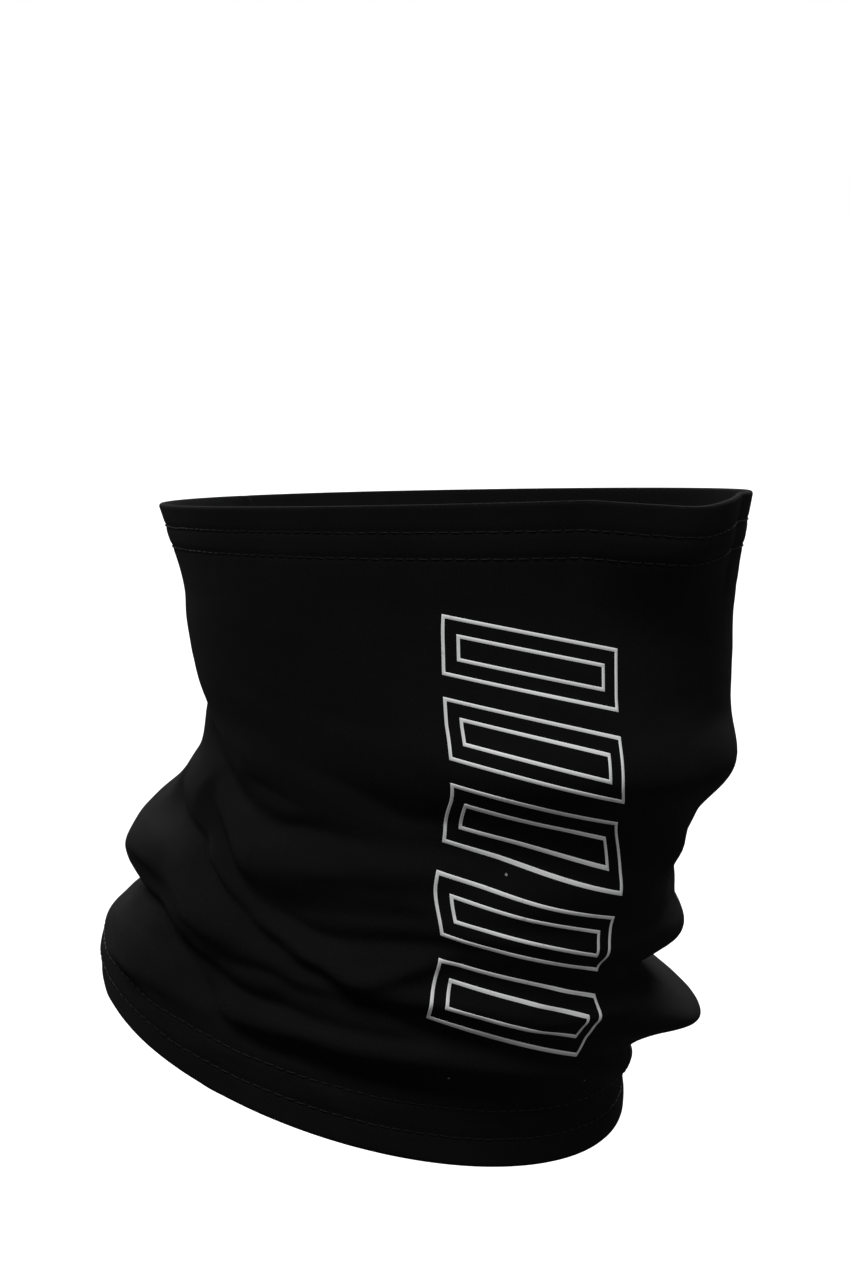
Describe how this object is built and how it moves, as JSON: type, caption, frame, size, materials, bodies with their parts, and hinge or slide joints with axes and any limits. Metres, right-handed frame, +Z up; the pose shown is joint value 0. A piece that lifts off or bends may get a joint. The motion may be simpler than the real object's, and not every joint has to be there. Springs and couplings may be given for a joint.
{
  "type": "neck gaiter",
  "caption": "Tube of black knit worn over the nose and gathered in soft rolls round the neck, hemmed at both ends, with an outline print on one side.",
  "frame": {"origin": "on the wearer's head axis, level with the front of the bottom opening, where the neck goes in", "axes": "+Z up along the head, -Y the way the wearer faces, -X the wearer's right"},
  "size_m": [0.1752, 0.2321, 0.2089],
  "materials": {
    "knit": "matte fine-gauge jersey",
    "thread": "spun thread",
    "label_satin": "woven satin ribbon",
    "print_film": "heat-applied reflective film"
  },
  "bodies": {
    "neck_tube": {"tube_panel": "knit", "bottom_hem": "knit", "bottom_hem_needle_thread_lower": "thread", "bottom_hem_needle_thread_upper": "thread", "bottom_hem_looper_thread": "thread", "back_seam_allowance": "knit", "back_seam_overlock_thread": "thread", "care_label_tacks": "thread", "print_bar_1": "print_film", "print_bar_2": "print_film", "print_bar_3": "print_film", "print_bar_4": "print_film", "print_bar_5": "print_film"},
    "top_edge": {"top_hem": "knit", "top_hem_needle_thread_lower": "thread", "top_hem_needle_thread_upper": "thread", "top_hem_looper_thread": "thread"},
    "label_page": {"care_label": "label_satin"}
  },
  "joints": [
    {"name": "pull_down", "type": "slide", "parent": "neck_tube", "child": "top_edge", "axis": [0, 0, -1], "range_m": [0, 0.05], "deforming": ["tube_panel", "back_seam_allowance", "back_seam_overlock_thread", "print_bar_1", "print_bar_2", "print_bar_3", "print_bar_4", "print_bar_5"]},
    {"name": "label_flap", "type": "hinge", "parent": "neck_tube", "child": "label_page", "pos_m": [0.00001, 0.10657, 0.07668], "axis": [-0.0016, -0.3676, 0.93], "range_deg": [0, 150]}
  ]
}
